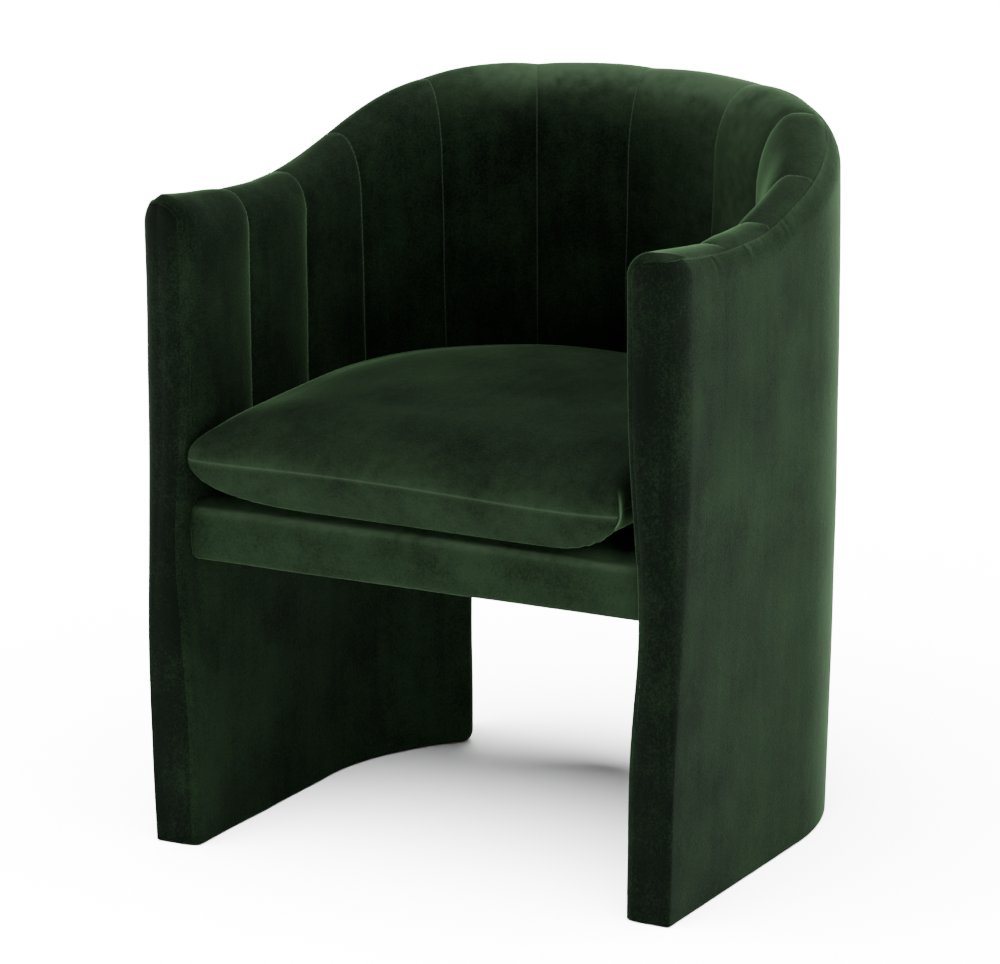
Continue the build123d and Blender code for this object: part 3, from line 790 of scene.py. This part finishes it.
rail_half, end_round, wrap_thick = 0.2668, 0.007, 0.007
rail_x = rail_half * sin(linspace(-pi / 2, pi / 2, 131))
end_gap = rail_half - np.abs(rail_x)
drawn = end_round - sqrt(end_round**2 - clip(end_round - end_gap, 0, end_round) ** 2)
outer_path, inner_path = rail_path(0.0), rail_path(wrap_thick)
inner_path[:, 1] = np.minimum(inner_path[:, 1], deck_top - wrap_thick)
share = (drawn / 0.0075)[None, :, None]
low_half = (outer_path[:, 1] < rail_bottom + 0.03)[:, None]
pull = share * coords(1, low_half)
path = outer_path[:, None] + (inner_path - outer_path)[:, None] * pull
face = coords(rail_x, front + path[..., 0], path[..., 1])
face[..., 1] += 0.0009 * ripple(face, 0.10, 31)
under = coords(rail_x, front + (inner_path[:, :1] + 0.001), inner_path[:, 1:])
round_rail = linspace(0, 1, len(outer_path))
# A painted highlight along the rail's top front edge, partly pile opened over the edge, with a faint pale over the
# whole wrap.
rail_painted_highlight = 0.08 + 1.05 * bell(round_rail - 0.80, 0.09)[:, None] + 0 * rail_x
rail_velvet = cloth_shell("rail_velvet", face, under, marks={"bend": rail_painted_highlight})
dress(rail_velvet, "chair", rail_cloth, "velvet", "front_rail_cover")

# %% Lay the deck and the dust cover
def seat_sheet(near, radius, height, sag):
    """A flat sheet inside the U: rows from front to back, each as wide as the U there, sagging in the middle."""
    run = near + (side_run + radius * cos(radians(6)) - near) * sin(linspace(0, pi / 2, 60))[:, None]
    half_width = sqrt(radius**2 - clip(run - side_run, 0, None) ** 2)
    across = linspace(-1, 1, 61)
    x = half_width * across
    depth = (1 - across**2) * sin(pi * (run - near) / (run.max() - near))
    return coords(x, front + run, height - sag * depth)


deck_near, deck_half = 0.046, 0.2655
deck_face, deck_back = (seat_sheet(deck_near, deck_half, level, 0.0) for level in (deck_top - 0.0003, 0.3705))
deck = cloth_shell("deck_velvet", deck_face, deck_back)
dress(deck, "chair", seat_cloth, "velvet", "deck_cover")
print("deck lies at", round(deck_top, 4), "m")

# %% [markdown]
# Under the seat a black cloth keeps dust out of the webbing. It is stapled all round, so it is a stretched
# sheet with the slightest sag. It shows only from below, but a turned-over chair shows it first.

# %% Stretch the dust cover
def dust_cloth():
    """Thin non-woven cloth: black fibres with small pressed dots, rough all over."""
    material, strand, shader = start_finish("dust_cloth", Specular_IOR_Level=0.2)
    fibres = grain(strand, (1, 1, 1), 420.0, 3.0)
    spot = strand.node("ShaderNodeTexCoord", output="Object")
    dots = strand.node("ShaderNodeTexVoronoi", None, {"Vector": spot, "Scale": 380.0})
    colour = blend_colour(strand, fibres, (0.006, 0.006, 0.006, 1), (0.022, 0.022, 0.021, 1))
    join(shader, strand, roughness=0.85 + fibres * 0.12, colour=colour, bump=(dots + fibres * 0.5, 0.4, 0.0004))
    return material


dust_near, dust_half, dust_sag = 0.0635, 0.2660, 0.0030
dust_face, dust_back = (seat_sheet(dust_near, dust_half, level, dust_sag) for level in (0.3200, 0.3212))
dust = cloth_shell("dust_cover_cloth", dust_face, dust_back)
dress(dust, "chair", dust_cloth(), "dust_cloth", "dust_cover")

# %% [markdown]
# ## Seat cushion
# The cushion is two U-shaped panels of velvet sewn together round the edge, with no border between them,
# and filled until it crowns. So it is made as two panels here too: a grid stretched over the U (a Coons
# patch, which blends the four edge curves), raised for the top and lowered for the bottom, sharing the
# seam. A cloth simulation with pressure then fills it, with the seam held, and the move is capped.

# %% The cushion's two panels
cushion_half, cushion_front, cushion_centre = 0.2462, 0.002, 0.250
ear_reach, ear_length, front_bow = 0.0100, 0.020, 0.004
turn_back = pi / 4
cushion_floor = deck_top + 0.0012


def seam_height(x):
    """The front seam's height: a slow wave across the front, lifted at both ears."""
    return 0.4212 - 0.0025 * sin(2 * pi * (x - 0.05) / 0.6) + 0.003 * (np.abs(x) / 0.256) ** 8


def cushion_edges(share):
    """The four edge curves of the U at a share along each: front, back arc, sitter's right and left sides."""
    straight, arc = cushion_centre - cushion_front, cushion_half * turn_back
    gone = share * (straight + arc)
    angle = clip(gone - straight, 0, None) / cushion_half
    ear = ear_reach * bell(gone, ear_length)
    run = cushion_front + np.minimum(gone, straight) + cushion_half * sin(angle)
    side = coords(cushion_half * cos(angle) + ear, run)
    bow = front_bow * sin(pi * share)
    near = coords((cushion_half + ear_reach) * (2 * share - 1), cushion_front + bow)
    sweep = pi - turn_back - share * (pi - 2 * turn_back)
    far = cushion_half * coords(cos(sweep), sin(sweep)) + [0, cushion_centre]
    return near, far, side * [-1, 1], side


cells_across = 110
share = (1 - cos(pi * linspace(0, 1, cells_across))) / 2
near, far, right_edge, left_edge = cushion_edges(share)
u, v = share[None, :, None], share[:, None, None]
ruled = (1 - v) * near[None] + v * far[None] + (1 - u) * right_edge[:, None] + u * left_edge[:, None]
corners = (1 - u) * (1 - v) * near[0] + u * (1 - v) * near[-1] + (1 - u) * v * far[0] + u * v * far[-1]
plan = ruled - corners

from_centre = np.hypot(plan[..., 0], clip(plan[..., 1] - cushion_centre, 0, None))
ear = ear_reach * bell(plan[..., 1] - cushion_front, ear_length)
bow = front_bow * cos(plan[..., 0] / cushion_half * pi / 2)
to_side = clip(cushion_half + ear - from_centre, 1e-5, None)
to_front = clip(plan[..., 1] - cushion_front - bow, 1e-5, None)
to_edge = (to_side**-3.0 + to_front**-3.0) ** (-1 / 3)
left_ear = exp(-(((plan[..., 0] - 0.256) / 0.06) ** 2) - (plan[..., 1] / 0.15) ** 2)
plan = plan + left_ear[..., None] * [-0.012, 0.004]
print("cushion panel:", plan.shape[:2], "widest inset", round(float(to_edge.max()), 3), "m")

# %% Raise the top, lower the bottom, share the seam
def shoulder(front_depth, side_depth, pinch):
    """Rise from the seam (0) to the plateau (1): a rounded shoulder of those depths, pinched at the ears."""
    share = ((to_front / front_depth) ** -pinch + (to_side / side_depth) ** -pinch) ** (-1 / pinch)
    return (1 - (1 - clip(share, 0, 1)) ** 2.2) ** 0.5


plan_x, plan_run = plan[..., 0], plan[..., 1]
dome = clip(1 - (plan_x / 0.25) ** 2, 0, 1) * clip(1 - ((plan_run - 0.25) / 0.26) ** 2, 0, 1)
crown = (0.047 - 0.010 * plan_x) * shoulder(0.092, 0.026, 1.6) + 0.012 * dome
belly = 0.048 * shoulder(0.022, 0.13, 2.8)
behind = smooth(plan_run / 0.12)
seam_z = seam_height(plan_x) * (1 - behind) + 0.4195 * behind
ring = np.zeros(plan.shape[:2], bool)
ring[[0, -1], :] = ring[:, [0, -1]] = True
top_z = seam_z + where(ring, 0, crown)
low_z = np.maximum(seam_z - where(ring, 0, belly), cushion_floor)
top_points, low_points = (coords(plan_x, front + plan_run, z).reshape(-1, 3) for z in (top_z, low_z))
held = ring.ravel()
number = where(held, np.arange(held.size), held.size + np.cumsum(~held) - 1)
cells = grid_cells(cells_across, cells_across)
cushion_points = concatenate([top_points, low_points[~held]])
cushion_quads = concatenate([cells, number[cells][:, ::-1]])
seam_line = concatenate([held, np.zeros((~held).sum(), bool)])
# Painted light on the cushion: lighter near the front seam and over the rear of the top, and half as much on the bottom
# panel, standing in for light that falls there.
cushion_top_painted_light = (0.20 * exp(-to_front / 0.035) + 0.25 * smooth((to_front - 0.28) / 0.14)).ravel()
cushion_painted_light = concatenate([cushion_top_painted_light, cushion_top_painted_light[~held] * 0.5])
cushion = put_mesh("seat_cushion", cushion_points, cushion_quads, {"seam": seam_line, "bend": cushion_painted_light})
print("cushion starts", [round(float(v), 3) for v in np.ptp(cushion_points, axis=0)], "m across")

# %% Fill the cushion
def fill_cushion(piece, pressure, most):
    """Twenty steps of cloth under pressure with the seam held; the top's lift, capped and evened out, is added."""
    group = piece.vertex_groups.new(name="sewn")
    group.add([int(i) for i in np.flatnonzero(seam_line)], 1.0, "REPLACE")
    cloth = piece.modifiers.new("filling", "CLOTH")
    weave = cloth.settings
    weave.use_pressure, weave.uniform_pressure_force = True, pressure
    weave.vertex_group_mass = group.name
    weave.effector_weights.gravity = 0
    weave.quality, weave.mass = 6, 0.4
    weave.tension_stiffness = weave.compression_stiffness = 14
    weave.bending_stiffness = 0.6
    steps, scene = 20, bpy.context.scene
    cloth.point_cache.frame_start, cloth.point_cache.frame_end = 1, steps
    for number in range(1, steps + 1):
        scene.frame_set(number)
    filled = piece.evaluated_get(bpy.context.evaluated_depsgraph_get())
    points = np.empty(len(filled.data.vertices) * 3, np.float32)
    filled.data.vertices.foreach_get("co", points)
    piece.modifiers.remove(cloth)
    piece.vertex_groups.remove(group)
    scene.frame_set(1)
    lift = points.reshape(-1, 3)[:, 2] - cushion_points[:, 2]
    print("filling lifted the cloth by", lift.min().round(4), "to", lift.max().round(4), "m")
    lift = clip(lift[:held.size], -most, most).reshape(ring.shape)
    evening_passes = 60
    for _ in range(evening_passes):
        edged = np.pad(lift, 1, mode="edge")
        lift = (edged[:-2, 1:-1] + edged[2:, 1:-1] + edged[1:-1, :-2] + edged[1:-1, 2:]) / 4
    lift = np.append(lift, np.zeros((~held).sum())) * smooth(everywhere / 0.05)
    return cushion_points + coords(0, 0, lift)


everywhere = concatenate([to_edge.ravel(), to_edge.ravel()[~held]])
full = fill_cushion(cushion, 4.0, 0.005)

# %% Settle the cushion, pucker its seam and finish it
on_top = concatenate([np.ones(held.size), -np.ones((~held).sum())])
on_top[seam_line] = 0
near_front = exp(-clip(full[:, 1] - front - 0.01, 0, None) / 0.03)
gathered = exp(-everywhere / 0.016) * (1 - exp(-everywhere / 0.004))
busy = 0.35 + 0.9 * bell(full[:, 0] - 0.19, 0.05)
folds = sin(full[:, 0] * 2 * pi / 0.0145 + 0.6 * sin(full[:, 0] * 60))
full[:, 2] += 0.0017 * on_top * gathered * busy * folds * near_front
full[:, 2] += 0.0016 * ripple(full, 0.15, 52) * (on_top > 0) * smooth(everywhere / 0.05)
full[:, 2] = np.maximum(full[:, 2], cushion_floor)
cushion.data.vertices.foreach_set("co", full.astype(np.float32).ravel())
pair = np.empty(len(cushion.data.edges) * 2, np.int32)
cushion.data.edges.foreach_get("vertices", pair)
sharp = seam_line[pair.reshape(-1, 2)].all(1)
crease = cushion.data.attributes.new("crease_edge", "FLOAT", "EDGE")
crease.data.foreach_set("value", 0.25 * sharp.astype(np.float32))
cushion.data.update()
rounder = cushion.modifiers.new("rounder", "SUBSURF")
rounder.levels = rounder.render_levels = 1
dress(cushion, "cushion", seat_cloth, "velvet", "cushion_cover", "cushion_core")
print("cushion from", full.min(0).round(3), "to", full.max(0).round(3))

# %% [markdown]
# ## Stitches
# Close to, the channel seams show the thread that sews them down: short stitches in the bottom of each
# valley. One stitch is a small tapered rod. A few hundred copies are placed at once, each turned along
# its own seam, by multiplying the rod's points with every stitch's three directions.

# %% Sew the channel seams
def seam_samples(column, spacing):
    """Places along one seam column at even spacing, with the seam's direction and the way out of the valley."""
    line, away = channel_face[6:, column], channel_normal[6:, column]
    gone = np.append(0, np.cumsum(np.linalg.norm(np.diff(line, axis=0), axis=1)))
    at = np.arange(spacing, gone[-1] - spacing / 2, spacing)

    def pick(values, places):
        return coords(*(np.interp(places, gone, axis) for axis in values.T))

    return pick(line, at), pick(line, at + 0.001) - pick(line, at - 0.001), pick(away, at)


def unit(vectors):
    """Each vector divided by its length."""
    return vectors / np.linalg.norm(vectors, axis=-1, keepdims=True)


seams = [seam_samples(pad + n * per_channel, 0.0058) for n in range(1, channels)]
middle, ahead, away = (concatenate(parts) for parts in zip(*seams))
ahead = unit(ahead)
beside = unit(np.cross(ahead, away))
away = np.cross(beside, ahead)
print(len(middle), "stitches in", len(seams), "seams")

# %% Copy one stitch along every seam
sides = 6
spread = np.arange(sides) * 2 * pi / sides
lengthwise = np.repeat([-0.0020, -0.0014, 0.0014, 0.0020], sides)
thick = np.repeat([0.00015, 0.00042, 0.00042, 0.00015], sides)
spread = np.tile(spread, 4)
rod = coords(lengthwise, thick * cos(spread) + 0.0002, thick * sin(spread))
stitch_points = middle[:, None] + np.einsum("pk,skc->spc", rod, np.stack([ahead, away, beside], 1))
ringed = np.arange(4 * sides).reshape(4, sides)
turned = np.roll(ringed, -1, 1)
side_quads = coords(ringed[:-1], ringed[1:], turned[1:], turned[:-1]).reshape(-1, 4)
end_quads = np.array([[0, 1, 2, 3], [0, 3, 4, 5], [21, 20, 19, 18], [23, 22, 21, 18]])
one = concatenate([side_quads, end_quads])
stitch_quads = (one[None] + np.arange(len(middle))[:, None, None] * 4 * sides).reshape(-1, 4)
stitches = put_mesh("channel_stitches", stitch_points.reshape(-1, 3), stitch_quads)
thread = speckled(
    "stitch_thread", (0.008, 0.016, 0.009), (0.030, 0.052, 0.030), 1400.0, 1.0, (0.55, 0.2), (0.3, 0.0002),
    Sheen_Weight=0.2, Specular_IOR_Level=0.3,
)
dress(stitches, "chair", thread, "velvet")

# %% [markdown]
# ## What is underneath
# The frame is beech, with woven webbing under the seat, felt along the bottoms of the legs, black
# plastic glides that just show at the floor, and zinc-plated bolts. Most of it is covered, but each of
# these keeps its CAD shape and gets a finish of its own.

# %% Finishes for the frame
def beech():
    """Pale beech: long rings along the wood, with the short dark flecks that mark the species."""
    material, strand, shader = start_finish("beech", Specular_IOR_Level=0.35)
    rings = grain(strand, (60, 60, 5), 1.0, 4.0)
    flecks = grain(strand, (420, 420, 60), 1.0, 1.0)
    mark = (flecks - 0.58).clamped() * 3.0
    wood = blend_colour(strand, rings, (0.46, 0.29, 0.155, 1), (0.62, 0.43, 0.25, 1))
    wood = blend_colour(strand, mark.clamped(), wood, (0.27, 0.15, 0.07, 1))
    join(shader, strand, roughness=0.48 + rings * 0.2, colour=wood, bump=(rings + flecks * 0.4, 0.2, 0.0006))
    return material


def webbing():
    """Black elastic webbing: crossing ribs from two triangle waves, with a dusty fibre."""
    material, strand, shader = start_finish("webbing", Specular_IOR_Level=0.25)
    spot = strand.node("ShaderNodeTexCoord", output="Object")
    ribs = strand.node("ShaderNodeTexWave", {"bands_direction": "X"}, {"Vector": spot, "Scale": 110.0}, output=1)
    cross = strand.node("ShaderNodeTexWave", {"bands_direction": "Y"}, {"Vector": spot, "Scale": 110.0}, output=1)
    weave = ribs * 0.5 + cross * 0.5
    colour = blend_colour(strand, weave, (0.010, 0.010, 0.011, 1), (0.055, 0.055, 0.058, 1))
    join(shader, strand, roughness=0.7 + weave * 0.2, colour=colour, bump=(weave, 0.5, 0.0006))
    return material


felt = speckled(
    "strip_felt", (0.008, 0.009, 0.008), (0.035, 0.038, 0.034), 700.0, 3.0, (0.8, 0.18), (0.6, 0.0004), Sheen_Weight=0.3
)
glide_plastic = speckled(
    "glide_plastic", (0.009, 0.009, 0.009), (0.020, 0.020, 0.021), 500.0, 3.0, (0.32, 0.18), (0.12, 0.0004)
)
bolt_steel = speckled(
    "bolt_steel", (0.50, 0.50, 0.48), (0.66, 0.66, 0.65), 260.0, 3.0, (0.28, 0.18), (0.08, 0.0004), Metallic=1.0
)
wood_starts = ("arm_rail", "back_", "base_plate", "corner_block", "front_post", "front_seat", "rear_", "side_")
wooden = [name for name in nodes if name.startswith(wood_starts)]
by_finish = {
    webbing(): ["seat_webbing"],
    felt: ["bottom_strip_left", "bottom_strip_right"],
    glide_plastic: ["glides"],
    bolt_steel: ["frame_bolts"],
    beech(): wooden,
}
for finish, names in by_finish.items():
    for name in names:
        for place_for in nodes[name].material_slots:
            place_for.material = finish
print(len(wooden), "wooden nodes; finishes:", [finish.name for finish in by_finish])

# %% [markdown]
# ## Studio
# A white floor that runs far behind the chair, so floor and background are one, and soft light from large
# panels: the strongest from the sitter's left, weaker ones from above, from the front and from the right,
# and the white room all round. A wash of its own makes the paper pure white, as a studio does by lighting
# the backdrop apart from the object: it is linked to the floor, so the dark pile is not washed out too.
# The chair still casts its shadow in that wash, soft and close under the seat.

# %% Floor and light
span = np.array([-30.0, 30.0])
paper = coords(*np.meshgrid(span, span), 0).reshape(-1, 3)
floor = put_mesh("floor", paper, np.array([[0, 1, 3, 2]]))
white, whiter = (0.86, 0.86, 0.86), (0.90, 0.90, 0.90)
floor.data.materials.append(speckled("studio_paper", white, whiter, 300.0, 2.0, (0.9, 0.08), Specular_IOR_Level=0.05))

room = bpy.data.worlds.new("white_room")
room.use_nodes = True
glow = room.node_tree.nodes["Background"]
glow.inputs["Color"].default_value = (1, 1, 1, 1)
glow.inputs["Strength"].default_value = 0.16
bpy.context.scene.world = room

floor_only, floor_out = (bpy.data.collections.new(name) for name in ("floor_only", "floor_out"))
floor_only.objects.link(floor)
floor_out.objects.link(floor)
floor_out.collection_objects[0].light_linking.link_state = "EXCLUDE"


def panel(name, at, towards, size, power):
    """A square light panel at a place, turned towards a point, that lights everything but the floor."""
    light = bpy.data.lights.new(name, "AREA")
    light.shape, light.size, light.energy = "SQUARE", size, power
    holder = put(name, light)
    holder.light_linking.receiver_collection = floor_out
    holder.location = at
    holder.rotation_euler = (Vector(towards) - Vector(at)).to_track_quat("-Z", "Y").to_euler()


panel("side_panel", (2.9, 1.2, 1.3), (0.2, 0.0, 0.4), 1.5, 95)
panel("top_panel", (0.1, 0.9, 3.0), (0.0, 0.15, 0.6), 1.8, 75)
panel("front_panel", (2.1, -1.9, 1.75), (0.0, 0.0, 0.35), 0.8, 30)
panel("left_panel", (-2.6, -1.2, 1.6), (0.0, 0.1, 0.5), 1.4, 24)

wash = bpy.data.lights.new("floor_wash", "SUN")
wash.energy, wash.angle = 60.0, radians(85)
wash.cycles.max_bounces = 0
wash_holder = put("floor_wash", wash)
wash_holder.rotation_euler = (radians(14), 0, 0)
wash_holder.light_linking.receiver_collection = floor_only
print("floor, four panels and the floor's own wash placed")
